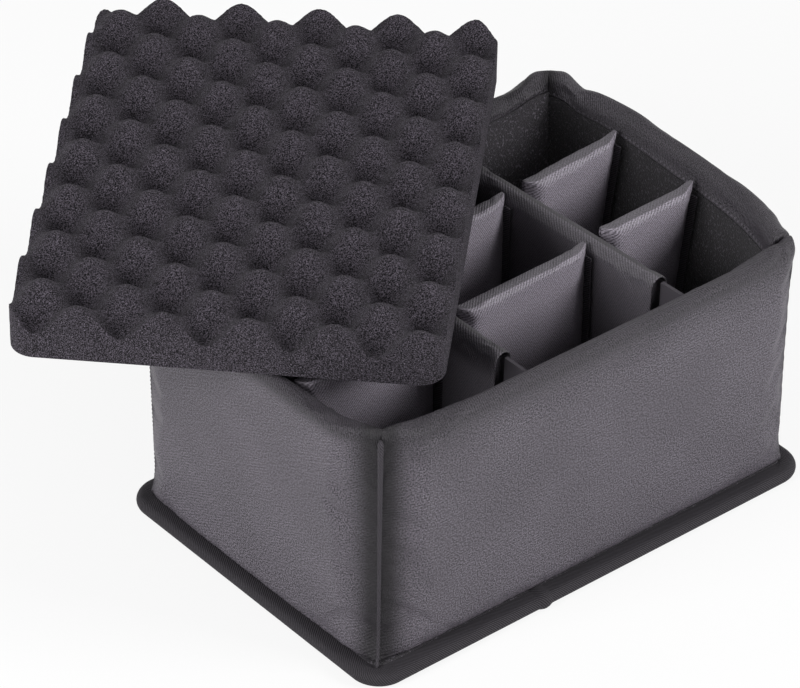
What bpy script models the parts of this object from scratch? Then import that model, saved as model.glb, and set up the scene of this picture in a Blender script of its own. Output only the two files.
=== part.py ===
"""Padded divider insert for a small outdoor case, with a convoluted foam lid pad laid across it.

Four padded walls stand on a bound base panel. Two long dividers and six short ones part the
inside into nine cells, and each hooks on the loop lining by thin tabs at its ends.
Metres, +Z up. The origin is the centre of the base panel's underside, +X runs along the long
front wall and +Y runs to the back.
"""
import math

import bmesh
import bpy
from mathutils import Matrix, Vector

# Running clearances and cloths
GAP = 0.0003
WELD = 0.00003
CLOTH = 0.0008
PILE = 0.0009

# Body
BODY_WIDTH = 0.2265
BODY_DEPTH = 0.1528
RIM_HEIGHT = 0.1198
WALL = 0.0086
LIP_DROP = 0.0085
SEAM_GAP = 0.0008

# Base panel
BASE_HEIGHT = 0.0063
BASE_LEDGE = 0.0082
BASE_CORNER = 0.0140
BOARD = 0.0015
BINDING = 0.0008
BINDING_LEG = 0.0076
LAP_LENGTH = 0.0085
LAP_CENTRE_SHARE = -0.125

# How the soft walls relax, as shares of the rim's height: the top of each corner drifts and rises,
# and each rim bows out between its corners
BOW_SHARES = {"front": 0.014, "right": 0.086, "back": 0.025, "left": 0.036}
CORNER_DRIFT_SHARES = {
    "front_left": (0.0, 0.0),
    "front_right": (0.004, 0.0),
    "back_right": (0.052, 0.105),
    "back_left": (0.0, 0.033),
}
CORNER_RISE_SHARES = {"front_left": 0.008, "front_right": 0.0, "back_right": 0.008, "back_left": 0.008}
BOW_POWER = 6
RISE_POWER = 8
LEAN_POWER = 1.5
DRAW_POWER = 3

# Padding: how far the cloth is drawn in at the corner seams, and the share of it at each corner,
# and how full it is between them
DRAW_IN = 0.0032
DRAW_IN_SHARES = {"front_left": 1.0, "front_right": 0.25, "back_right": 0.25, "back_left": 0.25}
DRAW_LENGTH = 0.0190
DRAW_STOP_SHARES = (0.0, 0.45, 0.75, 0.90, 1.02)
CROWN = 0.0012
SEAM_RADIUS = 0.0011

# Long dividers, from front to back
LONG_THICK = 0.0086
LONG_BELOW_RIM = 0.0053
LONG_TAB = 0.0155
LONG_PLACE_SHARES = {
    "left_divider": (-0.128, 0.0),
    "right_divider": (0.238, -0.048),
}

# Short dividers, from side to side, each in its column and row
COLUMNS = 3
SHORT_THICK = 0.0074
SHORT_BELOW_RIM = 0.0048
SHORT_TAB = 0.0050
SHORT_PINCH_SHARE = 0.62
SHORT_SLIDE = 0.0120
SHORT_PLACE_SHARES = {
    "left_front": (-0.125, 0.0),
    "left_back": (0.215, 0.0),
    "middle_front": (-0.124, 0.035),
    "middle_back": (0.205, 0.02),
    "right_front": (-0.085, 0.05),
    "right_back": (0.230, 0.09),
}

# Hook tabs and the dividers' edges
DIVIDER_EDGE = 0.0009
TAB_THICK = 0.0016
FOOT_THICK = 0.0010
FOOT_WIDTH = 0.0100
TAB_INSET = 0.0030
TAB_SIDE_SHARE = 0.28

# Convoluted lid pad
PAD_WIDTH = 0.1773
PAD_LENGTH = 0.2391
PAD_CREST = 0.0256
PAD_VALLEY = 0.0115
PAD_CORNER = 0.0110
PAD_PITCH = 0.0345
PAD_TURN = math.radians(-45.8)
PAD_CENTRE_SHARES = (-0.202, 0.544)
PAD_PHASE_SHARES = (0.722, 0.448)
PAD_SEAT_CORNER = "back_left"
CREST_FULLNESS = 0.92

# Mesh density
WALL_COLUMNS = 6
CORE_COLUMNS = slice(3, -3)
WALL_ROWS = 4
ROUND_STEPS = 4
PINCH_SHARES = (0.84, 0.94, 1.0)
DIVIDER_SHARES = (-1.0, -0.94, -0.84, -0.45, 0.0, 0.45, *PINCH_SHARES)
WAVE_STEPS = 6

# Derived places
FOOT = BASE_HEIGHT + GAP
ROLL = WALL / 2
LIP_HEIGHT = RIM_HEIGHT - ROLL - LIP_DROP
HALF_WIDTH = BODY_WIDTH / 2
HALF_DEPTH = BODY_DEPTH / 2
LONG_TOP = RIM_HEIGHT - LONG_BELOW_RIM
SHORT_TOP = RIM_HEIGHT - SHORT_BELOW_RIM

SIDES = {
    "front": {"turn": 0, "half": HALF_WIDTH, "out": HALF_DEPTH, "ends": ("front_left", "front_right")},
    "right": {"turn": 90, "half": HALF_DEPTH, "out": HALF_WIDTH, "ends": ("front_right", "back_right")},
    "back": {"turn": 180, "half": HALF_WIDTH, "out": HALF_DEPTH, "ends": ("back_right", "back_left")},
    "left": {"turn": 270, "half": HALF_DEPTH, "out": HALF_WIDTH, "ends": ("back_left", "front_left")},
}

COLOURS = {
    "nylon": ((0.085, 0.082, 0.090), 0.42),
    "loop": ((0.020, 0.020, 0.024), 0.95),
    "foam": ((0.030, 0.031, 0.034), 0.98),
    "core": ((0.055, 0.055, 0.058), 0.95),
    "tape": ((0.030, 0.029, 0.030), 0.80),
    "board": ((0.060, 0.060, 0.062), 0.60),
    "hook": ((0.025, 0.025, 0.028), 0.70),
}


def clear_scene():
    for old in list(bpy.data.objects):
        bpy.data.objects.remove(old, do_unlink=True)


def collection(name):
    group = bpy.data.collections.new(name)
    bpy.context.scene.collection.children.link(group)
    return group


def finish_material(finish):
    """One Principled material for each finish."""
    if finish in bpy.data.materials:
        return bpy.data.materials[finish]
    colour, roughness = COLOURS[finish]
    material = bpy.data.materials.new(finish)
    material.use_nodes = True
    shader = material.node_tree.nodes["Principled BSDF"]
    shader.inputs["Base Color"].default_value = (*colour, 1.0)
    shader.inputs["Roughness"].default_value = roughness
    shader.inputs["Metallic"].default_value = 0.0
    material.diffuse_color = (*colour, 1.0)
    return material


def add_object(name, bm, finish, group):
    """Links a finished bmesh as one named object."""
    mesh = bpy.data.meshes.new(name)
    bm.to_mesh(mesh)
    bm.free()
    mesh.materials.append(finish_material(finish))
    part = bpy.data.objects.new(name, mesh)
    group.objects.link(part)
    return part


def set_origin(part, spot):
    """Puts an object's origin on its slide line and leaves its shape where it is."""
    part.data.transform(Matrix.Translation(-spot))
    part.location = spot


def thicken(part, thickness):
    """Gives an open cloth surface its thickness, inwards."""
    solid = part.modifiers.new("cloth", "SOLIDIFY")
    solid.thickness = thickness
    solid.offset = -1.0
    solid.use_even_offset = True
    return part


def blend(start, end, share):
    return start + (end - start) * share


def face_outwards(bm):
    """Turns the faces of a closed mesh so that they all point out."""
    bmesh.ops.recalc_face_normals(bm, faces=bm.faces)
    if bm.calc_volume(signed=True) < 0:
        bmesh.ops.reverse_faces(bm, faces=bm.faces)
    return bm


def prism(outline, steps, place):
    """Closed solid: an outline carried along steps, each point set by place(x, y, step)."""
    bm = bmesh.new()
    face = bm.faces.new([bm.verts.new((x, y, 0.0)) for x, y in outline])
    for step in range(1, len(steps)):
        grown = bmesh.ops.extrude_face_region(bm, geom=[face])["geom"]
        if step > 1:
            bmesh.ops.delete(bm, geom=[face], context="FACES_ONLY")
        face = next(item for item in grown if isinstance(item, bmesh.types.BMFace))
        for vert in face.verts:
            vert.co.z = step
    for vert in bm.verts:
        vert.co = place(vert.co.x, vert.co.y, steps[round(vert.co.z)])
    return face_outwards(bm)


def sheet(columns, rows, place):
    """Open surface: a grid whose points are set by place(column, row)."""
    bm = bmesh.new()
    bmesh.ops.create_grid(bm, x_segments=len(columns) - 1, y_segments=len(rows) - 1, size=1.0)
    for vert in bm.verts:
        column = round((vert.co.x + 1) / 2 * (len(columns) - 1))
        row = round((vert.co.y + 1) / 2 * (len(rows) - 1))
        vert.co = place(columns[column], rows[row])
    return bm


def tube(outline, steps, place):
    """Open-ended sleeve: a closed outline carried along steps."""
    rows = list(outline) + [outline[0]]
    bm = sheet(steps, range(len(rows)), lambda step, row: place(rows[row][0], rows[row][1], step))
    bmesh.ops.remove_doubles(bm, verts=bm.verts, dist=WELD)
    bmesh.ops.recalc_face_normals(bm, faces=bm.faces)
    return bm


def arc(centre_x, centre_y, radius, start, end, count):
    """Points of an arc, angles in degrees, with both ends."""
    points = []
    for index in range(count + 1):
        angle = math.radians(blend(start, end, index / count))
        points.append((centre_x + radius * math.cos(angle), centre_y + radius * math.sin(angle)))
    return points


def rounded_rectangle(half_x, half_y, radius, count):
    """Outline of a rectangle with round corners, counter-clockwise."""
    points = []
    for sign_x, sign_y, start in ((1, 1, 0), (-1, 1, 90), (-1, -1, 180), (1, -1, 270)):
        points += arc(sign_x * (half_x - radius), sign_y * (half_y - radius), radius, start, start + 90, count)
    return points


def even_steps(start, end, count):
    return [blend(start, end, index / count) for index in range(count + 1)]


def wall_columns(side):
    """Shares along a wall, closer together where the cloth is drawn in to the corner seams."""
    half = SIDES[side]["half"]
    ends = [1 - stop * DRAW_LENGTH / half for stop in DRAW_STOP_SHARES]
    middle = even_steps(-ends[-1], ends[-1], WALL_COLUMNS)
    return [-share for share in ends[:-1]] + middle + list(reversed(ends[:-1]))


def wall_heights():
    return even_steps(FOOT, LIP_HEIGHT, WALL_ROWS) + [RIM_HEIGHT - ROLL]


def height_share(z):
    return max(0.0, (z - FOOT) / (RIM_HEIGHT - FOOT))


def corner_drift(side, along):
    """How far the wall's point is carried by its two leaning corners, at the rim."""
    start, end = (Vector(CORNER_DRIFT_SHARES[corner]) for corner in SIDES[side]["ends"])
    return start.lerp(end, (along + 1) / 2) * RIM_HEIGHT


def corner_rise(side, along):
    start, end = (CORNER_RISE_SHARES[corner] for corner in SIDES[side]["ends"])
    return (start if along < 0 else end) * RIM_HEIGHT * abs(along) ** RISE_POWER


def wall_bow(side, along, z):
    bow = BOW_SHARES[side] * RIM_HEIGHT
    return bow * (1 - abs(along) ** BOW_POWER) * height_share(z) ** LEAN_POWER


def wall_point(side, along, depth, z, skin=0.0):
    """Place of a wall's point: share along it, depth in from its outer face, and height.

    A skin is the thickness that the surface gets later, which its ends leave clear of the seam.
    """
    wall = SIDES[side]
    to_seam = (1 - abs(along)) * wall["half"]
    corner = wall["ends"][0 if along < 0 else 1]
    drawn = DRAW_IN * DRAW_IN_SHARES[corner] * (1 - min(1.0, to_seam / DRAW_LENGTH) ** DRAW_POWER)
    share = min(height_share(z), 1.0)
    full = CROWN * math.sin(math.pi * share) * (1 - abs(along) ** BOW_POWER)
    inward = depth + (drawn - full) * (1 - depth / WALL)
    half = wall["half"] - inward - SEAM_GAP / 2 - skin * max(0.0, 1 - depth / ROLL)
    local = Vector((along * half, inward - wall["out"] - wall_bow(side, along, z), 0.0))
    spot = Matrix.Rotation(math.radians(wall["turn"]), 3, "Z") @ local
    drift = corner_drift(side, along) * height_share(z)
    lift = corner_rise(side, along) * share ** RISE_POWER
    return Vector((spot.x + drift.x, spot.y + drift.y, z + lift))


def wall_cover(side, group):
    """Woven skin: outer face, rolled rim and the lip inside."""
    outer = [(0.0, z) for z in wall_heights()[:-1]]
    rim = arc(ROLL, RIM_HEIGHT - ROLL, ROLL, 180, 0, ROUND_STEPS)
    section = outer + rim + [(WALL, LIP_HEIGHT)]
    skin = sheet(wall_columns(side), section, lambda along, spot: wall_point(side, along, *spot, CLOTH))
    part = add_object(side + "_wall_cover", skin, "nylon", group)
    return thicken(part, CLOTH)


def wall_core(side, group):
    """Foam board that the skin wraps."""
    outer = CLOTH + GAP
    inner = WALL - max(CLOTH, PILE) - GAP
    middle = (outer + inner) / 2
    radius = (inner - outer) / 2
    section = [(outer, z) for z in wall_heights()[:-1]]
    section += arc(middle, RIM_HEIGHT - ROLL, radius, 180, 0, ROUND_STEPS)
    section += [(inner, z) for z in reversed(wall_heights()[:-1])]
    steps = wall_columns(side)[CORE_COLUMNS]
    core = prism(section, steps, lambda depth, z, along: wall_point(side, along, depth, z))
    return add_object(side + "_wall_foam", core, "core", group)


def wall_lining(side, group):
    """Loop pile sheet on the inner face, below the lip."""
    outer = WALL - PILE
    heights = wall_heights()[:-2] + [LIP_HEIGHT - GAP]
    section = [(outer, z) for z in heights] + [(WALL, z) for z in reversed(heights)]
    pile = prism(section, wall_columns(side), lambda depth, z, along: wall_point(side, along, depth, z))
    return add_object(side + "_wall_lining", pile, "loop", group)


def corner_seam(corner, group):
    """Sewn ridge in the groove where two walls meet."""
    side = next(name for name, wall in SIDES.items() if wall["ends"][1] == corner)
    following = next(name for name, wall in SIDES.items() if wall["ends"][0] == corner)
    outline = arc(0.0, 0.0, SEAM_RADIUS, 0, 315, 7)
    heights = wall_heights()
    turn = math.radians(SIDES[side]["turn"])
    outwards = Vector((math.cos(turn) + math.sin(turn), math.sin(turn) - math.cos(turn))).normalized()

    def place(x, y, z):
        first = wall_point(side, 1.0, 0.0, z)
        second = wall_point(following, -1.0, 0.0, z)
        spot = (first + second) / 2 + outwards.to_3d() * (SEAM_RADIUS + GAP)
        return Vector((spot.x + x, spot.y + y, z))

    ridge = prism(outline, heights, place)
    return add_object(corner + "_seam", ridge, "nylon", group)


def plate(name, half_x, half_y, radius, low, high, finish, group):
    """Flat sheet of the base panel."""
    outline = rounded_rectangle(half_x, half_y, radius, ROUND_STEPS)
    slab = prism(outline, (low, high), lambda x, y, z: Vector((x, y, z)))
    return add_object(name, slab, finish, group)


def base_panel(group):
    """Cover, stiffener, foam and loop floor, with the edge held in the binding."""
    half_x = HALF_WIDTH + BASE_LEDGE
    half_y = HALF_DEPTH + BASE_LEDGE
    flush = BINDING_LEG + GAP
    held = BASE_HEIGHT / 2
    low = max(CLOTH, BINDING) + GAP
    middle = low + BOARD + GAP
    high = BASE_HEIGHT - max(PILE, BINDING) - GAP
    floor_low = BASE_HEIGHT - PILE
    radius = BASE_CORNER
    plate("base_cover", half_x - flush, half_y - flush, radius - flush, 0.0, CLOTH, "nylon", group)
    plate("base_board", half_x - held, half_y - held, radius - held, low, middle - GAP, "board", group)
    plate("base_foam", half_x - held, half_y - held, radius - held, middle, high, "core", group)
    plate("floor_lining", half_x - flush, half_y - flush, radius - flush, floor_low, BASE_HEIGHT, "loop", group)


def binding_nose(grow):
    """Points round the panel's edge, from the floor up: distance in from the edge, and height."""
    radius = BASE_HEIGHT / 2
    floor_angle = math.degrees(math.asin(radius / (radius + grow)))
    nose = arc(0.0, radius, radius + grow, -floor_angle, 90, ROUND_STEPS)
    return [(radius - x, z) for x, z in nose]


def base_binding(group):
    """Tape folded over the edge of the base panel."""
    section = [(BINDING_LEG, 0.0)] + binding_nose(0.0) + [(BINDING_LEG, BASE_HEIGHT)]
    half_x = HALF_WIDTH + BASE_LEDGE
    half_y = HALF_DEPTH + BASE_LEDGE

    def place(corner_index, spot):
        inset, z = spot
        ring = rounded_rectangle(half_x - inset, half_y - inset, BASE_CORNER - inset, ROUND_STEPS)
        return Vector((*ring[corner_index % len(ring)], z))

    count = len(rounded_rectangle(half_x, half_y, BASE_CORNER, ROUND_STEPS))
    tape = sheet(range(count + 1), section, place)
    bmesh.ops.remove_doubles(tape, verts=tape.verts, dist=WELD)
    part = add_object("base_binding", tape, "tape", group)
    return thicken(part, BINDING)


def binding_lap(group):
    """Short overlap where the two ends of the tape meet, on the front edge."""
    section = binding_nose(GAP + BINDING) + list(reversed(binding_nose(GAP)))
    centre = LAP_CENTRE_SHARE * BODY_WIDTH
    edge = HALF_DEPTH + BASE_LEDGE
    steps = (centre - LAP_LENGTH / 2, centre + LAP_LENGTH / 2)
    lap = prism(section, steps, lambda inset, z, x: Vector((x, inset - edge, z)))
    return add_object("binding_lap", lap, "tape", group)


def inner_face(side, along_place, z):
    """Distance of a wall's inner face from the middle, at a place along the wall."""
    wall = SIDES[side]
    turn = math.radians(wall["turn"])
    along_sign = round(math.cos(turn)) if side in ("front", "back") else round(math.sin(turn))
    along = max(-1.0, min(1.0, along_sign * along_place / (wall["half"] - WALL)))
    drift = corner_drift(side, along) * height_share(z)
    outwards = Vector((math.sin(turn), -math.cos(turn)))
    return wall["out"] - WALL + wall_bow(side, along, z) + drift.dot(outwards)


def long_centre(name, y):
    """Middle of a long divider, which may stand a little askew."""
    centre_share, slope = LONG_PLACE_SHARES[name]
    return centre_share * BODY_WIDTH + slope * y


def divider_section(half, top, inset, round_top):
    """Outline across a divider, with a round or a flat top; the inset is that of its foam."""
    radius = half - inset
    bottom = FOOT + inset
    shoulder = top - half if round_top else top - inset - DIVIDER_EDGE
    heights = even_steps(bottom + DIVIDER_EDGE, shoulder, WALL_ROWS)
    if round_top:
        crest = arc(0.0, shoulder, radius, 0, 180, ROUND_STEPS + 2)[1:-1]
    else:
        crest = [(radius - DIVIDER_EDGE, top - inset), (DIVIDER_EDGE - radius, top - inset)]
    sole = [(DIVIDER_EDGE - radius, bottom), (radius - DIVIDER_EDGE, bottom)]
    right = [(radius, z) for z in heights]
    left = [(-radius, z) for z in reversed(heights)]
    return sole + right + crest + left


def hook_tab(name, width_place, low, high, length, end_sign, group):
    """Thin tab from a sleeve's end to the loop pile, with a foot that grips the pile."""
    web = TAB_THICK / 2
    foot = FOOT_WIDTH / 2
    back = length - FOOT_THICK
    outline = [(GAP, -web), (back, -web), (back, -foot), (length, -foot)]
    outline += [(length, foot), (back, foot), (back, web), (GAP, web)]
    heights = even_steps(low + TAB_INSET, high - TAB_INSET, WALL_ROWS)
    tab = prism(outline, heights, lambda reach, w, z: width_place(end_sign, reach, w, z))
    return add_object(name, tab, "hook", group)


def long_divider(name, group):
    """Padded sleeve from the front wall to the back wall, with its foam and two tabs."""
    half = LONG_THICK / 2
    inset = CLOTH + GAP

    def end(sign, z):
        side = "back" if sign > 0 else "front"
        return sign * (inner_face(side, long_centre(name, sign * HALF_DEPTH), z) - GAP)

    def place(w, z, share):
        y = blend(end(-1, z) + LONG_TAB, end(1, z) - LONG_TAB, (share + 1) / 2)
        return Vector((long_centre(name, y) + w, y, z))

    def tab_place(sign, reach, w, z):
        y = end(sign, z) - sign * (LONG_TAB - reach)
        return Vector((long_centre(name, y) + w + TAB_SIDE_SHARE * half, y, z))

    skin = tube(divider_section(half, LONG_TOP, 0.0, True), DIVIDER_SHARES, place)
    core = prism(divider_section(half, LONG_TOP, inset, True), DIVIDER_SHARES[1:-1], place)
    pieces = [
        thicken(add_object(name + "_sleeve", skin, "nylon", group), CLOTH),
        add_object(name + "_foam", core, "core", group),
        hook_tab(name + "_front_tab", tab_place, FOOT, LONG_TOP, LONG_TAB, -1, group),
        hook_tab(name + "_rear_tab", tab_place, FOOT, LONG_TOP, LONG_TAB, 1, group),
    ]
    for piece in pieces:
        set_origin(piece, Vector((long_centre(name, 0.0), 0.0, FOOT)))


def short_limits(cell):
    """The two faces that a short divider hooks on, clear of them all along its slide."""
    column = cell.split("_")[0]
    centre = SHORT_PLACE_SHARES[cell][0] * BODY_DEPTH
    askew = abs(SHORT_PLACE_SHARES[cell][1]) * BODY_WIDTH / COLUMNS / 2
    reach = SHORT_SLIDE + FOOT_WIDTH / 2 + askew
    spots = even_steps(centre - reach, centre + reach, WALL_ROWS)

    def left(z):
        if column == "left":
            return max(-inner_face("left", y, z) for y in spots) + GAP
        name = "left_divider" if column == "middle" else "right_divider"
        return max(long_centre(name, y) for y in spots) + LONG_THICK / 2 + GAP

    def right(z):
        if column == "right":
            return min(inner_face("right", y, z) for y in spots) - GAP
        name = "left_divider" if column == "left" else "right_divider"
        return min(long_centre(name, y) for y in spots) - LONG_THICK / 2 - GAP

    return left, right


def short_divider(cell, group):
    """Padded sleeve across one column, drawn in at both ends, with its foam and two tabs."""
    name = cell + "_divider"
    half = SHORT_THICK / 2
    inset = CLOTH + GAP
    left, right = short_limits(cell)
    middle = (left(FOOT) + right(FOOT)) / 2
    centre_share, slope = SHORT_PLACE_SHARES[cell]
    tab_line = TAB_SIDE_SHARE * half

    def axis(x):
        return centre_share * BODY_DEPTH + slope * (x - middle)

    def place(w, z, share):
        x = blend(left(z) + SHORT_TAB, right(z) - SHORT_TAB, (share + 1) / 2)
        near_end = max(0.0, (abs(share) - PINCH_SHARES[0]) / (1 - PINCH_SHARES[0]))
        pinch = 1 - SHORT_PINCH_SHARE * near_end ** 2
        return Vector((x, axis(x) + tab_line + (w - tab_line) * pinch, z))

    def tab_place(sign, reach, w, z):
        x = (right(z) if sign > 0 else left(z)) - sign * (SHORT_TAB - reach)
        return Vector((x, axis(x) + tab_line + w, z))

    skin = tube(divider_section(half, SHORT_TOP, 0.0, False), DIVIDER_SHARES, place)
    core = prism(divider_section(half, SHORT_TOP, inset, False), DIVIDER_SHARES[2:-2], place)
    pieces = [
        thicken(add_object(name + "_sleeve", skin, "nylon", group), CLOTH),
        add_object(name + "_foam", core, "core", group),
        hook_tab(name + "_left_tab", tab_place, FOOT, SHORT_TOP, SHORT_TAB, -1, group),
        hook_tab(name + "_right_tab", tab_place, FOOT, SHORT_TOP, SHORT_TAB, 1, group),
    ]
    for piece in pieces:
        set_origin(piece, Vector((middle, axis(middle), FOOT)))


def pad_height(x, y):
    """Height of the pad's top: crests in staggered rows, with hollows between them."""
    across = 2 * math.pi * (x / PAD_PITCH + PAD_PHASE_SHARES[0])
    along = 2 * math.pi * (y / PAD_PITCH + PAD_PHASE_SHARES[1])
    wave = (1 + math.cos(across) * math.cos(along)) / 2
    return blend(PAD_VALLEY, PAD_CREST, wave ** CREST_FULLNESS)


def lid_pad(group, cutters):
    """Convoluted foam pad, level on the rim and turned across the box."""
    step = PAD_PITCH / WAVE_STEPS
    start_x = -(PAD_PHASE_SHARES[0] + math.ceil(PAD_WIDTH / 2 / PAD_PITCH)) * PAD_PITCH
    start_y = -(PAD_PHASE_SHARES[1] + math.ceil(PAD_LENGTH / 2 / PAD_PITCH)) * PAD_PITCH
    columns = []
    while not columns or columns[-1] < PAD_WIDTH / 2:
        columns.append(start_x + step * len(columns))
    rows = []
    while not rows or rows[-1] < PAD_LENGTH / 2:
        rows.append(start_y + step * len(rows))
    columns = [x for x in columns if x > -PAD_WIDTH / 2 - step]
    rows = [y for y in rows if y > -PAD_LENGTH / 2 - step]
    top = sheet(columns, rows, lambda x, y: Vector((x, y, pad_height(x, y))))
    rim = [edge for edge in top.edges if edge.is_boundary]
    walls = bmesh.ops.extrude_edge_only(top, edges=rim)["geom"]
    for vert in (item for item in walls if isinstance(item, bmesh.types.BMVert)):
        vert.co.z = 0.0
    bmesh.ops.holes_fill(top, edges=[edge for edge in top.edges if edge.is_boundary], sides=0)
    pad = add_object("lid_pad", face_outwards(top), "foam", group)

    outline = rounded_rectangle(PAD_WIDTH / 2, PAD_LENGTH / 2, PAD_CORNER, ROUND_STEPS)
    cutter_bm = prism(outline, (-PAD_CREST, PAD_CREST * 2), lambda x, y, z: Vector((x, y, z)))
    cutter = add_object("pad_outline", cutter_bm, "foam", cutters)
    cutter.hide_render = True
    cutter.display_type = "WIRE"
    trim = pad.modifiers.new("outline", "BOOLEAN")
    trim.operation = "INTERSECT"
    trim.solver = "EXACT"
    trim.object = cutter

    seat = RIM_HEIGHT * (1 + CORNER_RISE_SHARES[PAD_SEAT_CORNER]) + GAP
    share_x, share_y = PAD_CENTRE_SHARES
    for part in (pad, cutter):
        part.location = (share_x * BODY_WIDTH, share_y * BODY_DEPTH, seat)
        part.rotation_euler = (0.0, 0.0, PAD_TURN)
    return pad


def build():
    clear_scene()
    group = collection("divider_insert")
    cutters = collection("cutters")
    base_panel(group)
    base_binding(group)
    binding_lap(group)
    for side in SIDES:
        wall_cover(side, group)
        wall_core(side, group)
        wall_lining(side, group)
    for corner in CORNER_DRIFT_SHARES:
        corner_seam(corner, group)
    for name in LONG_PLACE_SHARES:
        long_divider(name, group)
    for cell in SHORT_PLACE_SHARES:
        short_divider(cell, group)
    lid_pad(group, cutters)


build()
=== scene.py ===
# %% [markdown]
# # A padded divider insert with a foam lid pad
#
# The object is the soft inside of a small outdoor case: four fabric-covered foam walls on a bound
# base panel, padded dividers that hook on the walls' pile, and a pad of egg-crate foam laid across.
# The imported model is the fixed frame. Each soft solid of it is replaced by a finer piece that
# fills the same space, and each piece gets a finish made of shader nodes.

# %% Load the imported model
import math

import bmesh
import bpy
from mathutils import Matrix, Vector, noise


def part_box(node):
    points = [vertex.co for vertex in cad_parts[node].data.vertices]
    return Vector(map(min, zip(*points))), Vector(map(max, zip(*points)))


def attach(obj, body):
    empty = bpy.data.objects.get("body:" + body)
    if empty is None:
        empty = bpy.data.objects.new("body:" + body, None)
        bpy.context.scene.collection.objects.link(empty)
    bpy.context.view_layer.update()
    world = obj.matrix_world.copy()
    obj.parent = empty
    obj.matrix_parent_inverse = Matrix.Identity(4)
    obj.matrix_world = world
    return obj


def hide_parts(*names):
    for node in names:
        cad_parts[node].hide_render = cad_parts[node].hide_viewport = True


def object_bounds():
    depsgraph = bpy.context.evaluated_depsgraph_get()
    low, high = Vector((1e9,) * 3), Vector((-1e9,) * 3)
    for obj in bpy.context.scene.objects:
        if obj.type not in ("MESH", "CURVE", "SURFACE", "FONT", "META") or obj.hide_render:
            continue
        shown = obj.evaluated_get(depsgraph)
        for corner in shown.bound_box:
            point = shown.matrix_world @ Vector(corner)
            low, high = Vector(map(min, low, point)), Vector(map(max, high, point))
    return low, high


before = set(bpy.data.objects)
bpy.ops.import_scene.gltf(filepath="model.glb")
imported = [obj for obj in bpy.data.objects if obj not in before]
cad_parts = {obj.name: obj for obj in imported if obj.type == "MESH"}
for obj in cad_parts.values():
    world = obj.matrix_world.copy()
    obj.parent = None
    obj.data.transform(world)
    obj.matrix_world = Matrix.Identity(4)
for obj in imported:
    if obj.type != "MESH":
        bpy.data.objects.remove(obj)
cad_low, cad_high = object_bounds()
cad_size = [round((high - low) * 1000, 1) for low, high in zip(cad_low, cad_high)]
print("the packed model measures", cad_size, "mm")

# %% [markdown]
# ## The camera
#
# A long lens stands in front of the near left corner and looks down on the box. It is placed by its
# aim point, its distance and three angles, which are easier to read and change than a matrix.

# %% Camera
CAMERA_AIM = Vector((-0.0274, 0.0140, 0.0800))
CAMERA_DISTANCE = 2.0902
CAMERA_ROUND = math.radians(40.01)
CAMERA_ABOVE = math.radians(35.62)
CAMERA_ROLL = math.radians(0.78)
CAMERA_LENS = 224.27

camera = bpy.data.objects.new("camera", bpy.data.cameras.new("camera"))
bpy.context.scene.collection.objects.link(camera)
bpy.context.scene.camera = camera
towards_camera = Vector((
    -math.sin(CAMERA_ROUND) * math.cos(CAMERA_ABOVE),
    -math.cos(CAMERA_ROUND) * math.cos(CAMERA_ABOVE),
    math.sin(CAMERA_ABOVE),
))
facing = (-towards_camera).to_track_quat("-Z", "Y").to_matrix()
turned = facing @ Matrix.Rotation(CAMERA_ROLL, 3, "Z")
camera_spot = CAMERA_AIM + towards_camera * CAMERA_DISTANCE
camera.matrix_world = Matrix.Translation(camera_spot) @ turned.to_4x4()
camera.data.lens = CAMERA_LENS
camera.data.clip_end = 20.0
print("the camera stands", round(CAMERA_DISTANCE, 2), "m from the box")

# %% [markdown]
# ## Shader sums
#
# A finish mixes patterns with sums such as `1 - mask`. A small class wraps one socket, so that such
# a sum adds its Math nodes by itself. Every other kind of node comes from its `node` method.


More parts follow.
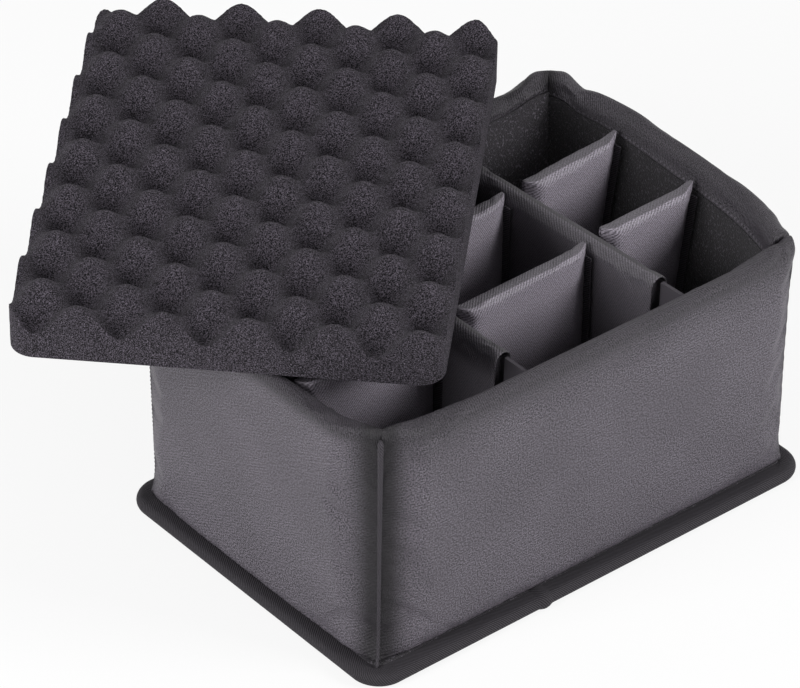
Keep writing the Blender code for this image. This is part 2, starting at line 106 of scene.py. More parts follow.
# %% Shader sums
class Wire:
    """One output socket of a material, on which sums are written as plain Python."""

    def __init__(self, tree, socket):
        self.tree = tree
        self.socket = socket

    def node(self, kind, settings=None, sockets=None, output=0):
        """Adds any node: first its settings, then the values or wires of its sockets."""
        made = self.tree.nodes.new(kind)
        for name, value in (settings or {}).items():
            setattr(made, name, value)
        for name, value in (sockets or {}).items():
            if isinstance(value, Wire):
                self.tree.links.new(value.socket, made.inputs[name])
            else:
                made.inputs[name].default_value = value
        return Wire(self.tree, made.outputs[output])

    def sum(self, operation, first, second=0.0):
        return self.node("ShaderNodeMath", {"operation": operation}, {0: first, 1: second})

    def __add__(self, other):
        return self.sum("ADD", self, other)

    __radd__ = __add__

    def __sub__(self, other):
        return self.sum("SUBTRACT", self, other)

    def __rsub__(self, other):
        return self.sum("SUBTRACT", other, self)

    def __mul__(self, other):
        return self.sum("MULTIPLY", self, other)

    __rmul__ = __mul__

    def sine(self):
        return self.sum("SINE", self)

    def size(self):
        return self.sum("ABSOLUTE", self)

    def clamped(self):
        return self.node("ShaderNodeClamp", None, {"Value": self})

    def step(self, low, high):
        """Rises smoothly from 0 at low to 1 at high."""
        ranges = {"Value": self, "From Min": low, "From Max": high}
        return self.node("ShaderNodeMapRange", {"interpolation_type": "SMOOTHSTEP"}, ranges)

    def grain(self, scale, detail=2.0, roughness=0.5):
        """Noise at so many lumps a metre, from this wire's place."""
        sockets = {"Vector": self, "Scale": scale, "Detail": detail, "Roughness": roughness}
        return self.node("ShaderNodeTexNoise", None, sockets)

    def cells(self, scale):
        """Round cells, so many a metre: 0 in each middle, rising outwards."""
        return self.node("ShaderNodeTexVoronoi", None, {"Vector": self, "Scale": scale})

    def painted(self, name):
        """A number that the mesh carries at each of its points."""
        return self.node("ShaderNodeAttribute", {"attribute_name": name}, output=2)

    def axes(self):
        """The three numbers of a place."""
        parts = self.tree.nodes.new("ShaderNodeSeparateXYZ")
        self.tree.links.new(self.socket, parts.inputs[0])
        return [Wire(self.tree, socket) for socket in parts.outputs]

    def blend(self, low, high):
        """Colour from low, where this wire is 0, to high, where it is 1."""
        settings = {"data_type": "RGBA", "clamp_factor": True}
        return self.node("ShaderNodeMix", settings, {0: self, 6: low, 7: high}, output=2)


VIOLET_LEAN = (0.03, -0.07, 0.10)


def shade(level, violet=1.0):
    """A grey as a linear colour, leaning a little to violet as the dye does."""
    return (*(level * (1 + lean * violet) for lean in VIOLET_LEAN), 1.0)


def new_finish(name, roughness, sheen=0.0, gloss=0.5):
    """A material with its shader, and wires for places on the object and on the cloth."""
    material = bpy.data.materials.new(name)
    material.use_nodes = True
    tree = material.node_tree
    shader = tree.nodes["Principled BSDF"]
    shader.inputs["Roughness"].default_value = roughness
    shader.inputs["Sheen Weight"].default_value = sheen
    shader.inputs["Sheen Roughness"].default_value = 0.5
    shader.inputs["Specular IOR Level"].default_value = gloss
    spots = tree.nodes.new("ShaderNodeTexCoord")
    return material, shader, Wire(tree, spots.outputs["Object"]), Wire(tree, spots.outputs["UV"])


def wire_up(shader, colour, height, depth, roughness=None):
    """Joins the colour, the bump and the roughness to their sockets."""
    tree = colour.tree
    tree.links.new(colour.socket, shader.inputs["Base Color"])
    sockets = {"Strength": 1.0, "Distance": depth, "Height": height}
    relief = height.node("ShaderNodeBump", None, sockets)
    tree.links.new(relief.socket, shader.inputs["Normal"])
    if roughness is not None:
        tree.links.new(roughness.socket, shader.inputs["Roughness"])


# %% [markdown]
# ## Finishes
#
# Most surfaces are woven nylon. Its threads are finer than a picture this size can show one by one,
# so the cloth gets a plain weave in relief, faint ribs at a coarser step and a little uneven tone.
# The cloth's own map carries the weave, in metres, so it follows every fold. Near the rim and the
# corner seams the cloth is drawn tight, and there its colour is painted darker, as shade.

# %% Woven nylon
TURN = 2 * math.pi
THREAD = 0.00055
THREAD_RELIEF = 0.00016
RIB = 0.00143
RIM_RIB = 0.0011
RIM_FROM = 0.104
RIM_TO = 0.111
LIP_STITCH = 0.0026
PATCHES = 24
SPECKLES = 1500


def plain_weave(across, along, pitch):
    """Height of crossed threads: each goes over one and under the next."""
    warp = (across * (math.pi / pitch)).sine()
    weft = (along * (math.pi / pitch)).sine()
    over = (warp * weft * 4 + 0.5).clamped()
    return over * warp.size() + (1 - over) * weft.size()


def nylon_finish(name, level, roughness, slant):
    """Satin cloth: threads, ribs in patches and across the rim, and painted shade at rim and seams.
    """
    finish, shader, place, cloth = new_finish(name, roughness, gloss=0.22)
    across, along, _ = cloth.axes()
    # Painted shade in bands at the corner seams and below the rim, carried by the mesh.
    band_shade = place.painted("band_shade")
    weave = plain_weave(across, along, THREAD)
    rim = along.step(RIM_FROM, RIM_TO)
    flat_ribs = ((along - across * slant) * (TURN / RIB)).sine() * 0.5 + 0.5
    rim_ribs = ((across + along * 0.3) * (TURN / RIM_RIB)).sine() * 0.5 + 0.5
    patches = cloth.grain(PATCHES, 2.0).step(0.36, 0.64)
    low_ribs = flat_ribs * (patches * 0.6 + 0.2) * (1 - rim) * 0.7
    ribs = low_ribs + rim_ribs * rim * (patches * 0.9 + 0.5)
    speckle = cloth.grain(SPECKLES, 1.0, 0.7).step(0.36, 0.64)
    tone = weave * 0.08 + speckle * 0.66 + ribs * 0.26
    # The rim is painted darker, as shade.
    low = rim.blend(shade(level * 0.08), shade(level * 0.05))
    high = rim.blend(shade(level * 2.00), shade(level * 1.35))
    unbanded_colour = tone.blend(low, high)
    # In the bands of painted shade the colour goes much darker.
    shaded_colour = tone.blend(shade(level * 0.03), shade(level * 0.17))
    colour = (band_shade * 0.9).blend(unbanded_colour, shaded_colour)
    sewn = place.painted("sewn").step(0.60, 0.80)
    stitches = sewn * (across * (TURN / LIP_STITCH)).sine().step(-0.1, 0.4)
    colour = stitches.blend(colour, shade(0.08))
    height = weave * 0.4 + ribs + speckle * 0.5 + stitches * 2 - sewn
    shine = speckle * 0.16 + (roughness - 0.08)
    wire_up(shader, colour, height, THREAD_RELIEF, shine)
    return finish


nylon = nylon_finish("nylon_satin", 0.100, 0.48, 0.0)
# The side walls' copy is a little darker, as painted shade, and its ribs slant.
side_nylon = nylon_finish("nylon_satin_slanted_shaded", 0.094, 0.48, 0.5)
print("nylon threads lie", THREAD * 1000, "mm apart")

# %% [markdown]
# The dividers have a twill, whose threads step over in fine slanted lines. Hands wear their tops,
# so the lines fade there. The tops and front edges are also painted darker, as shade. The long
# dividers get a darker copy.

# %% Twill nylon of the dividers
TWILL = 0.00165
TOP_BLEND = 0.0008


def twill_finish(name, level, roughness, top_from, top_to):
    """Cloth with fine slanted lines that fade on the worn top, and painted shade on top and edge.
    """
    finish, shader, _, cloth = new_finish(name, roughness)
    across, along, _ = cloth.axes()
    past_top = along.step(top_to, top_to + TOP_BLEND)
    top = along.step(top_from, top_from + TOP_BLEND) * (1 - past_top)
    lines = ((across - along) * (TURN / TWILL)).sine() * 0.5 + 0.5
    threads = (along * (TURN / THREAD)).sine() * 0.5 + 0.5
    speckle = cloth.grain(1600, 1.0, 0.7).step(0.32, 0.68)
    edge = 1 - along.step(top_from * 0.6, top_from)
    pattern = lines * (1 - top * 0.6) * 0.42 + threads * 0.08 + speckle * 0.50
    # The top and the front edge are painted darker, as shade.
    tone = pattern * (1 - top * 0.55 - edge * 0.15)
    colour = tone.blend(shade(level * 0.06), shade(level * 2.15))
    height = lines * 0.7 + speckle * 0.3
    wire_up(shader, colour, height, THREAD_RELIEF, speckle * 0.2 + (roughness - 0.1))
    return finish


twill = twill_finish("nylon_twill", 0.185, 0.55, 0.0022, 0.0080)
long_twill = twill_finish("nylon_twill_dark", 0.066, 0.60, 0.0060, 0.0120)
print("twill lines lie", TWILL * 1000, "mm apart")

# %% [markdown]
# The pile that the hooks grip is a mat of tiny loops, so it drinks light: it is nearly black, with
# a few loops that catch the light. A darker copy paints shade on the lining of the right wall.

# %% Loop pile
LOOPS = 1500
TUFTS = 1100
LOOP_GLINTS = 1000
LOOP_RELIEF = 0.0004


def pile_finish(name, level):
    finish, shader, place, _ = new_finish(name, 0.95, sheen=0.05)
    loops = place.cells(LOOPS)
    tufts = place.grain(TUFTS, 2.0)
    glints = place.grain(LOOP_GLINTS, 1.0).step(0.60, 0.68)
    tone = loops * 0.35 + glints * 0.9
    colour = tone.blend(shade(level * 0.35, 1.5), shade(level * 5.5, 1.2))
    wire_up(shader, colour, loops + tufts, LOOP_RELIEF)
    return finish


pile = pile_finish("loop_pile", 0.018)
# A darker copy: painted shade for the right wall's lining.
shaded_pile = pile_finish("loop_pile_painted_shade", 0.009)
print("the pile has", LOOPS, "loops a metre")

# %% [markdown]
# Open-cell foam is a froth of pores about half a millimetre wide. Each pore is a dark pit with
# paler strands round it, and here and there a strand shines.

# %% Open-cell foam
PORE = 0.00062
FROTH_RELIEF = 0.0006


def foam_finish(name, level):
    finish, shader, place, _ = new_finish(name, 1.0, sheen=0.03, gloss=0.15)
    pores = place.cells(1 / PORE)
    froth = place.grain(1.15 / PORE, 1.0, 0.7).step(0.40, 0.62)
    glints = place.grain(1.2 / PORE, 0.0).step(0.66, 0.74)
    # Painted shade: the foam is darker deep in its hollows, on its rim and on its cut sides.
    hollow_shade = place.painted("hollow_shade")
    tone = (froth * 0.95 + pores * 0.15 + glints * 0.9) * (1 - hollow_shade * 0.30)
    colour = (tone * 0.5).blend(shade(level * 0.02, 1.6), shade(level * 4.8, 1.3))
    wire_up(shader, colour, froth * 0.5 + pores * 0.5, FROTH_RELIEF)
    return finish


foam = foam_finish("open_cell_foam", 0.034)
print("pores are", PORE * 1000, "mm wide")

# %% [markdown]
# The binding is a heavy tape with slanted ribs, duller than the walls' cloth. The hook tape and the
# thread of the corner seams are of the same kind, but paler. The hook tape's paler tone is painted
# light, which lifts the tabs out of their shade.

# %% Binding tape
TAPE_RIB = 0.00115
TAPE_RELIEF = 0.00030


def tape_finish(name, level):
    finish, shader, _, cloth = new_finish(name, 0.78, gloss=0.25)
    across, along, _ = cloth.axes()
    ribs = ((across + along * 0.8) * (TURN / TAPE_RIB)).sine().step(-0.7, 0.7)
    speckle = cloth.grain(SPECKLES, 1.0)
    tone = ribs * 0.62 + speckle * 0.38
    colour = tone.blend(shade(level * 0.12), shade(level * 2.10))
    wire_up(shader, colour, ribs + speckle * 0.3, TAPE_RELIEF)
    return finish


tape = tape_finish("binding_tape", 0.026)
# The hook tape is painted paler, as light on the tabs that stand in shade.
hook_tape = tape_finish("hook_tape", 0.045)
seam_tape = tape_finish("seam_tape", 0.040)
print("the tape's ribs lie", TAPE_RIB * 1000, "mm apart")

# %% [markdown]
# ## Making a piece
#
# Every piece is a mesh in its place, with its object at the origin. It rides on the body that
# carries it and stands for the plain solids that it replaces.


# %% Making a piece
def add_piece(name, bm, finish, body, nodes=()):
    """Turns a finished bmesh into a smooth piece that rides on its body."""
    mesh = bpy.data.meshes.new(name)
    bm.to_mesh(mesh)
    bm.free()
    mesh.materials.append(finish)
    mesh.shade_smooth()
    piece = bpy.data.objects.new(name, mesh)
    bpy.context.scene.collection.objects.link(piece)
    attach(piece, body)
    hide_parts(*nodes)
    return piece


def even_steps(start, end, count):
    return [start + (end - start) * index / count for index in range(count + 1)]


def arc(centre_x, centre_y, radius, start, end, count):
    """Points of an arc, angles in degrees, with both ends."""
    angles = [math.radians(angle) for angle in even_steps(start, end, count)]
    return [(centre_x + radius * math.cos(a), centre_y + radius * math.sin(a)) for a in angles]


def lengths_along(points):
    """Distance of each point from the first, along an outline."""
    spots = [Vector(point) for point in points]
    travelled = [0.0]
    for before, after in zip(spots, spots[1:]):
        travelled.append(travelled[-1] + (after - before).length)
    return travelled


def cloth_grid(columns, rows, place):
    """A grid set by place(column, row), which also gives each point's spot on the cloth."""
    bm = bmesh.new()
    bmesh.ops.create_grid(bm, x_segments=len(columns) - 1, y_segments=len(rows) - 1, size=1.0)
    cloth = bm.loops.layers.uv.new("cloth")
    spots = {}
    for vert in bm.verts:
        column = round((vert.co.x + 1) / 2 * (len(columns) - 1))
        row = round((vert.co.y + 1) / 2 * (len(rows) - 1))
        vert.co, spots[vert] = place(columns[column], rows[row])
    for face in bm.faces:
        for loop in face.loops:
            loop[cloth].uv = spots[loop.vert]
    return bm


# %% [markdown]
# ## The base panel
#
# The walls stand on a thin panel whose edge is wrapped in tape. The panel's own cover, board and
# foam hardly show, so they are flat plates: an outline, filled and extruded. The floor's pile lies
# on them. The tape comes later, as one strip swept round the panel.

# %% Base panel
BODY_WIDTH = 0.2265
BODY_DEPTH = 0.1528
HALF_WIDTH = BODY_WIDTH / 2
HALF_DEPTH = BODY_DEPTH / 2
BASE_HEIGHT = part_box("base_binding")[1].z
BASE_LEDGE = 0.0082
BASE_CORNER = 0.0140
CORNER_STEPS = 12
GAP = 0.0003


def rounded_rectangle(half_x, half_y, radius, count):
    """Outline of a rectangle with round corners, counter-clockwise."""
    points = []
    for sign_x, sign_y, start in ((1, 1, 0), (-1, 1, 90), (-1, -1, 180), (1, -1, 270)):
        centre = (sign_x * (half_x - radius), sign_y * (half_y - radius))
        points += arc(*centre, radius, start, start + 90, count)
    return points


def plate_radius(low, high):
    """Corner radius of a plate that keeps an even way in from the panel's edge."""
    return (high - low).x / 2 - HALF_WIDTH - BASE_LEDGE + BASE_CORNER


def flat_plate(name, node, finish):
    """A round-cornered plate that fills a node's box."""
    low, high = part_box(node)
    around = rounded_rectangle(high.x, high.y, plate_radius(low, high), CORNER_STEPS)
    bm = bmesh.new()
    face = bm.faces.new([bm.verts.new((x, y, low.z)) for x, y in around])
    grown = bmesh.ops.extrude_face_region(bm, geom=[face])["geom"]
    top = [item for item in grown if isinstance(item, bmesh.types.BMVert)]
    bmesh.ops.translate(bm, verts=top, vec=(0, 0, high.z - low.z))
    bmesh.ops.recalc_face_normals(bm, faces=bm.faces)
    cloth = bm.loops.layers.uv.new("cloth")
    for face in bm.faces:
        for loop in face.loops:
            loop[cloth].uv = loop.vert.co.xy
    piece = add_piece(name, bm, finish, "box", [node])
    piece.data.shade_flat()
    return piece


flat_plate("base_underside", "base_cover", nylon)
flat_plate("base_stiffener", "base_board", nylon)
flat_plate("base_padding", "base_foam", foam)
floor_pile = flat_plate("floor_pile", "floor_lining", pile)

# %% [markdown]
# ## Where a point of a wall lies
#
# The walls are soft. Each leans with its two corners, bows out at the rim, is drawn in to the seams
# at its ends and is fullest in the middle. One function turns a spot on a straight wall into its
# real place, so that the wall, its lining and its seams all fit each other.

# %% Wall shape
RIM_HEIGHT = 0.1198
WALL = 0.0086
PILE = 0.0009
ROLL = WALL / 2
FOOT = BASE_HEIGHT + GAP
SHOULDER = RIM_HEIGHT - ROLL
SEWN_OVER = 0.0005
BOWS = {"front": 0.0017, "right": 0.0103, "back": 0.0030, "left": 0.0043}
DRIFTS = {
    "front_left": (0.0, 0.0),
    "front_right": (0.0005, 0.0),
    "back_right": (0.0062, 0.0126),
    "back_left": (0.0, 0.0040),
}
RISES = {"front_left": 0.0010, "front_right": 0.0004, "back_right": 0.0058, "back_left": 0.0010}
RISE_FULL = 0.0060
RISE_ENDS = {"front": 0.0260, "right": 0.0170, "back": 0.0260, "left": 0.0260}
BOW_POWERS = {"front": 6, "right": 3.5, "back": 6, "left": 6}
FULL_POWER = 6
LEAN_POWER = 1.5
DRAWS = {
    "front_left": {"depth": 0.0050, "length": 0.0180, "soft": 0.25},
    "front_right": {"depth": 0.0020, "length": 0.0045, "soft": 0.80},
    "back_right": {"depth": 0.0042, "length": 0.0090, "soft": 0.35},
    "back_left": {"depth": 0.0020, "length": 0.0045, "soft": 0.80},
}
BUTT_HEIGHT = 0.0120
GATHER_HEIGHT = 0.0150
GATHER_OUT = 0.75
LIPS = {
    "front": (0.1120, 0.1120),
    "right": (0.1085, 0.1120),
    "back": (0.1135, 0.1140),
    "left": (0.1120, 0.1120),
}
CROWN = 0.0012
SWAGS = {"front": 0.0004, "right": 0.0015, "back": 0.0012, "left": 0.0024}
SWAG_HEIGHT = 0.0180

SIDES = {
    side: {"turn": turn, "half": half, "out": out, "ends": ends}
    for side, turn, half, out, ends in (
        ("front", 0, HALF_WIDTH, HALF_DEPTH, ("front_left", "front_right")),
        ("right", 90, HALF_DEPTH, HALF_WIDTH, ("front_right", "back_right")),
        ("back", 180, HALF_WIDTH, HALF_DEPTH, ("back_right", "back_left")),
        ("left", 270, HALF_DEPTH, HALF_WIDTH, ("back_left", "front_left")),
    )
}


def height_share(z):
    return min(1.0, max(0.0, (z - FOOT) / (RIM_HEIGHT - FOOT)))


def corner_drift(side, along):
    start, end = (Vector(DRIFTS[corner]) for corner in SIDES[side]["ends"])
    return start.lerp(end, (along + 1) / 2)


def smooth_share(value, low, high):
    """Rises smoothly from 0 at low to 1 at high."""
    share = min(1.0, max(0.0, (value - low) / (high - low)))
    return share * share * (3 - 2 * share)


def corner_rise(side, along):
    start, end = (RISES[corner] for corner in SIDES[side]["ends"])
    to_corner = (1 - abs(along)) * SIDES[side]["half"]
    return (start if along < 0 else end) * smooth_share(-to_corner, -RISE_ENDS[side], -RISE_FULL)


def wall_bow(side, along, z):
    return BOWS[side] * (1 - abs(along) ** BOW_POWERS[side]) * height_share(z) ** LEAN_POWER


def lip_height(side, along):
    """Height of the lip's sewn edge, which isn't level on the right wall."""
    start, end = LIPS[side]
    return start + (end - start) * (along + 1) / 2


def seam_draw(side, along, z):
    """How far the outer face is drawn in: a slant to the seam that starts softly."""
    draw = DRAWS[SIDES[side]["ends"][0 if along < 0 else 1]]
    reach = 1 - (1 - abs(along)) * SIDES[side]["half"] / draw["length"]
    soft = draw["soft"]
    if reach <= -soft:
        return 0.0
    slant = reach if reach >= soft else (reach + soft) ** 2 / (4 * soft)
    gathered = GATHER_OUT * max(0.0, 1 - (z - FOOT) / GATHER_HEIGHT) ** 2
    return draw["depth"] * slant * (1 - gathered)


def end_cut(side, along, inward, z):
    """How much shorter a wall is than the body: a mitre, or a butt at the front right rim."""
    at_butt = SIDES[side]["ends"][0 if along < 0 else 1] == "front_right"
    share = smooth_share(z, SHOULDER - BUTT_HEIGHT, SHOULDER) if at_butt else 0.0
    return inward + ((0.0 if side == "front" else WALL) - inward) * share


def wall_point(side, along, depth, z):
    """Place of a wall's point: share along it, depth in from its outer face, and height."""
    wall = SIDES[side]
    share = height_share(z)
    mitred = wall["half"] - depth
    reach = along * min(1.0, (wall["half"] - end_cut(side, along, depth, z)) / mitred)
    low = max(0.0, 1 - (z - FOOT) / SWAG_HEIGHT)
    full = CROWN * math.sin(math.pi * share) + SWAGS[side] * low * low
    drawn = seam_draw(side, reach, z)
    inward = depth + (drawn - full * (1 - abs(reach) ** FULL_POWER)) * (1 - depth / WALL)
    half = wall["half"] - end_cut(side, along, inward, z) + SEWN_OVER
    local = Vector((along * half, inward - wall["out"] - wall_bow(side, reach, z), 0.0))
    spot = Matrix.Rotation(math.radians(wall["turn"]), 3, "Z") @ local
    drift = corner_drift(side, reach) * share
    return Vector((spot.x + drift.x, spot.y + drift.y, z + corner_rise(side, along) * share ** 8))


# %% [markdown]
# ## Folds and puckers
#
# Nylon over foam keeps small folds. Long ones are drawn one by one, each as a ridge or a hollow
# between two spots of the cloth. The fine puckers along the seams come from a Cloth simulation: the
# cloth is a little larger than the pad under it, is held at its seams, and air presses from inside.


# %% Folds and puckers
def fold_height(folds, u, v):
    """Sum of drawn folds at a spot of the cloth: each has two ends, a width and a height."""
    total = 0.0
    spot = Vector((u, v))
    for start, end, width, height in folds:
        line = Vector(end) - Vector(start)
        share = (spot - Vector(start)).dot(line) / line.length_squared
        away = (spot - Vector(start) - line * min(1.0, max(0.0, share))).length / width
        if away < 3:
            total += height * math.exp(-away * away) * (1 - min(1.0, abs(share * 2 - 1)) ** 4)
    return total


CLOTH_STEPS = 20
CLOTH_SLACK = 0.012


def simulate_cloth(piece, held, pressure, cap, slack=CLOTH_SLACK):
    """Blows up a piece that is held at some points, with each move cut to a cap.

    It gives the longest move before the cap.
    """
    start = [vert.co.copy() for vert in piece.data.vertices]
    group = piece.vertex_groups.new(name="held")
    group.add(held, 1.0, "REPLACE")
    cloth = piece.modifiers.new("cloth", "CLOTH")
    cloth.settings.vertex_group_mass = "held"
    cloth.settings.use_pressure = True
    cloth.settings.uniform_pressure_force = pressure
    cloth.settings.shrink_min = -slack
    cloth.settings.effector_weights.gravity = 0
    cloth.settings.bending_stiffness = 0.2
    cloth.point_cache.frame_end = CLOTH_STEPS
    for number in range(1, CLOTH_STEPS + 1):
        bpy.context.scene.frame_set(number)
    ready = piece.evaluated_get(bpy.context.evaluated_depsgraph_get())
    steps = [moved.co - before for moved, before in zip(ready.data.vertices, start)]
    piece.modifiers.remove(cloth)
    piece.vertex_groups.clear()
    bpy.context.scene.frame_set(1)
    for vert, before, step in zip(piece.data.vertices, start, steps):
        vert.co = before + step * min(1.0, cap / max(step.length, 1e-9))
    return max(step.length for step in steps)


def cloth_spots(piece):
    """Each point's place on the cloth's own map."""
    on_cloth = piece.data.uv_layers[0].uv
    return {loop.vertex_index: on_cloth[loop.index].vector.copy() for loop in piece.data.loops}


def soften(piece):
    """One level of subdivision, the same in the view and in the render."""
    smooth = piece.modifiers.new("smooth", "SUBSURF")
    smooth.levels = smooth.render_levels = 1
    smooth.use_limit_surface = False


def close_holes(bm):
    """Fills every open ring with triangles, and turns all faces outwards."""
    rims = [edge for edge in bm.edges if edge.is_boundary]
    caps = bmesh.ops.holes_fill(bm, edges=rims, sides=0)["faces"]
    bmesh.ops.triangulate(bm, faces=caps)
    bmesh.ops.recalc_face_normals(bm, faces=bm.faces)


MERGE = 0.00002


def closed_tube(columns, rows, place):
    """A grid rolled up: its first and last rows are joined, and its two ends are filled."""
    bm = cloth_grid(columns, rows, place)
    bmesh.ops.remove_doubles(bm, verts=bm.verts, dist=MERGE)
    close_holes(bm)
    return bm


def next_ring(bm, rim):
    """Extrudes open edges, and gives the new open edges with their points.

    The points keep an order, because a set's order, and so a sum over it, changes from run to run.
    """
    grown = bmesh.ops.extrude_edge_only(bm, edges=rim)["geom"]
    edges = [item for item in grown if isinstance(item, bmesh.types.BMEdge) and item.is_boundary]
    return edges, list(dict.fromkeys(vert for edge in edges for vert in edge.verts))


# %% [markdown]
# ## The padded walls
#
# A wall is one closed form: outer face, rolled rim, lip and hidden inner face. Its section is a
# loop of spots, and a grid carries the loop from seam to seam. The loop is joined and its ends
# are closed. Two numbers go with each point for the finish: how much painted shade it gets, near
# the rim and at the corner seams, and whether the lip is sewn there.

# %% Padded walls
WALL_STEP = 0.0019
ROUND_STEPS = 10
LIP_SEAM = 0.0010
# Painted shade of the wall cloth: its fall below the rim, its share at the rim and at the seams.
BAND_SHADE_FALL = {"front": 0.0200, "right": 0.0100, "back": 0.0100, "left": 0.0060}
BAND_SHADE_RIM = 0.52
BAND_SHADE_SEAM = 1.6
WALL_PRESSURE = 4.0
WALL_SWELL = 0.0018


def wall_section(lip):
    """Loop of (depth, height) spots, and how many of them the pressure may move."""
    outer = [(0.0, z) for z in even_steps(FOOT, SHOULDER, round((SHOULDER - FOOT) / WALL_STEP))]
    rim = arc(ROLL, SHOULDER, ROLL, 180, 0, ROUND_STEPS)[1:]
    fall = [(WALL, z) for z in (*even_steps(SHOULDER, lip + LIP_SEAM, 2)[1:], lip)]
    hidden = [(WALL - PILE - GAP, z) for z in even_steps(lip, FOOT, 8)]
    return [*outer, *rim, *fall, *hidden, outer[0]], len(outer + rim + fall) - 1


def make_wall(side, folds):
    """Cloth over foam from seam to seam, swelled and then folded."""
    loop, free_rows = wall_section(lip_height(side, 0.0))
    travelled = lengths_along(loop)
    half = SIDES[side]["half"]
    columns = even_steps(-1, 1, round(2 * half / WALL_STEP))

    def place(along, row):
        spot = wall_section(lip_height(side, along))[0][row]
        return wall_point(side, along, *spot), (along * half, travelled[row])

    bm = closed_tube(columns, range(len(loop)), place)
    nodes = [side + "_wall_cover", side + "_wall_foam"]
    finish = side_nylon if side in ("left", "right") else nylon
    piece = add_piece(side + "_padded_wall", bm, finish, "box", nodes)
    spots = cloth_spots(piece)
    edge_of_cloth = travelled[free_rows] - WALL_STEP / 2
    held = [
        index for index, (u, v) in spots.items()
        if abs(u) > half - WALL_STEP / 2 or not WALL_STEP / 2 < v < edge_of_cloth
    ]
    swell = simulate_cloth(piece, held, WALL_PRESSURE, WALL_SWELL)
    normals = [vert.normal.copy() for vert in piece.data.vertices]
    band_shade = piece.data.attributes.new("band_shade", "FLOAT", "POINT").data
    sewn = piece.data.attributes.new("sewn", "FLOAT", "POINT").data
    for vert, normal in zip(piece.data.vertices, normals):
        u, v = spots[vert.index]
        if 0 < v < edge_of_cloth:
            vert.co += normal * fold_height(folds, u, v)
        # Painted shade: darker towards the rim and in the bands drawn in at the corner seams.
        drawn = seam_draw(side, max(-1.0, min(1.0, u / half)), RIM_HEIGHT)
        near_rim = (v - SHOULDER + FOOT + BAND_SHADE_FALL[side]) / BAND_SHADE_FALL[side]
        top = BAND_SHADE_RIM * min(1.0, max(0.0, near_rim)) ** 1.5
        at_seam = min(1.0, BAND_SHADE_SEAM * drawn / DRAWS["front_left"]["depth"])
        band_shade[vert.index].value = max(top, at_seam)
        sewn[vert.index].value = float(abs(v - travelled[free_rows - 1]) < 0.0001)
    soften(piece)
    print(piece.name, "swells", round(swell * 1000, 2), "mm before the cap")


# Each fold: start and end on the cloth, width, and height or, below 0, depth
WALL_FOLDS = {
    "front": [
        ((0.018, 0.1065), (0.108, 0.1045), 0.0024, -0.0008),
        ((0.030, 0.1125), (0.108, 0.1105), 0.0026, 0.0006),
        ((-0.096, 0.1000), (-0.072, 0.1085), 0.0020, 0.0010),
        ((-0.102, 0.1100), (-0.093, 0.1000), 0.0020, 0.0008),
        ((-0.090, 0.1085), (-0.080, 0.1065), 0.0040, -0.0010),
        ((0.054, 0.1175), (0.074, 0.1105), 0.0018, 0.0009),
        ((-0.060, 0.0980), (0.035, 0.1005), 0.0050, -0.0005),
        ((-0.075, 0.0900), (0.010, 0.0945), 0.0060, 0.0004),
        ((0.060, 0.0930), (0.106, 0.0960), 0.0040, -0.0004),
    ],
    "right": [
        ((-0.060, 0.1190), (-0.010, 0.1160), 0.0022, -0.0008),
        ((-0.005, 0.1165), (0.052, 0.1190), 0.0022, -0.0009),
        ((-0.066, 0.1120), (-0.030, 0.1140), 0.0026, 0.0007),
        ((0.020, 0.1120), (0.064, 0.1140), 0.0026, 0.0007),
        ((0.035, 0.0150), (0.068, 0.0040), 0.0030, 0.0008),
    ],
    "back": [
        ((-0.100, 0.1180), (-0.060, 0.1120), 0.0026, 0.0009),
        ((-0.080, 0.1200), (-0.020, 0.1190), 0.0022, -0.0007),
        ((0.030, 0.1190), (0.095, 0.1160), 0.0024, -0.0007),
        ((-0.105, 0.0200), (-0.080, 0.0030), 0.0030, 0.0008),
        ((0.085, 0.0180), (0.105, 0.0030), 0.0030, 0.0008),
    ],
    "left": [
        ((0.048, 0.1110), (0.074, 0.1125), 0.0022, 0.0009),
        ((0.034, 0.1150), (0.048, 0.1180), 0.0030, -0.0010),
        ((0.052, 0.1180), (0.066, 0.1150), 0.0022, -0.0009),
        ((0.0600, 0.0140), (0.0715, 0.0010), 0.0024, 0.0012),
        ((0.0680, 0.0180), (0.0750, 0.0060), 0.0018, -0.0012),
        ((-0.060, 0.0120), (-0.070, 0.0020), 0.0030, 0.0008),
    ],
}
for side in SIDES:
    make_wall(side, WALL_FOLDS[side])

# %% [markdown]
# ## Linings
#
# Below each lip the wall is lined with loop pile, which the dividers' tabs grip. A lining is a thin
# closed sheet that follows its wall. The right one gets the darker pile, which is painted shade.

# %% Linings
LINING_ROWS = 24
LINING_STEP = 0.0040
LINING_EDGE = math.radians(60)


def lining_section(side, along):
    """Loop of (depth, height) spots: up the pile's face and back down behind it."""
    heights = even_steps(FOOT, lip_height(side, along) - GAP, LINING_ROWS)
    section = [(WALL - PILE, z) for z in heights] + [(WALL, z) for z in reversed(heights)]
    return section + [section[0]]


def make_lining(side):
    """Loop pile on a wall's inner face, from its foot up to the lip."""
    travelled = lengths_along(lining_section(side, 0.0))
    half = SIDES[side]["half"]
    columns = even_steps(-1, 1, round(2 * half / LINING_STEP))

    def place(along, row):
        spot = lining_section(side, along)[row]
        return wall_point(side, along, *spot), (along * half, travelled[row])

    bm = closed_tube(columns, range(len(travelled)), place)
    # The right lining's pile is painted darker, as shade.
    finish = shaded_pile if side == "right" else pile
    nodes = [side + "_wall_lining"]
    piece = add_piece(side + "_pile_lining", bm, finish, "box", nodes)
    piece.data.set_sharp_from_angle(angle=LINING_EDGE)
    2 * (half - WALL)
    sum(LIPS[side]) / 2 - GAP - FOOT
    side + "_padded_wall"


for side in SIDES:
    make_lining(side)
print("the back lining is", round((LIPS["back"][0] - GAP - FOOT) * 1000, 1), "mm high")

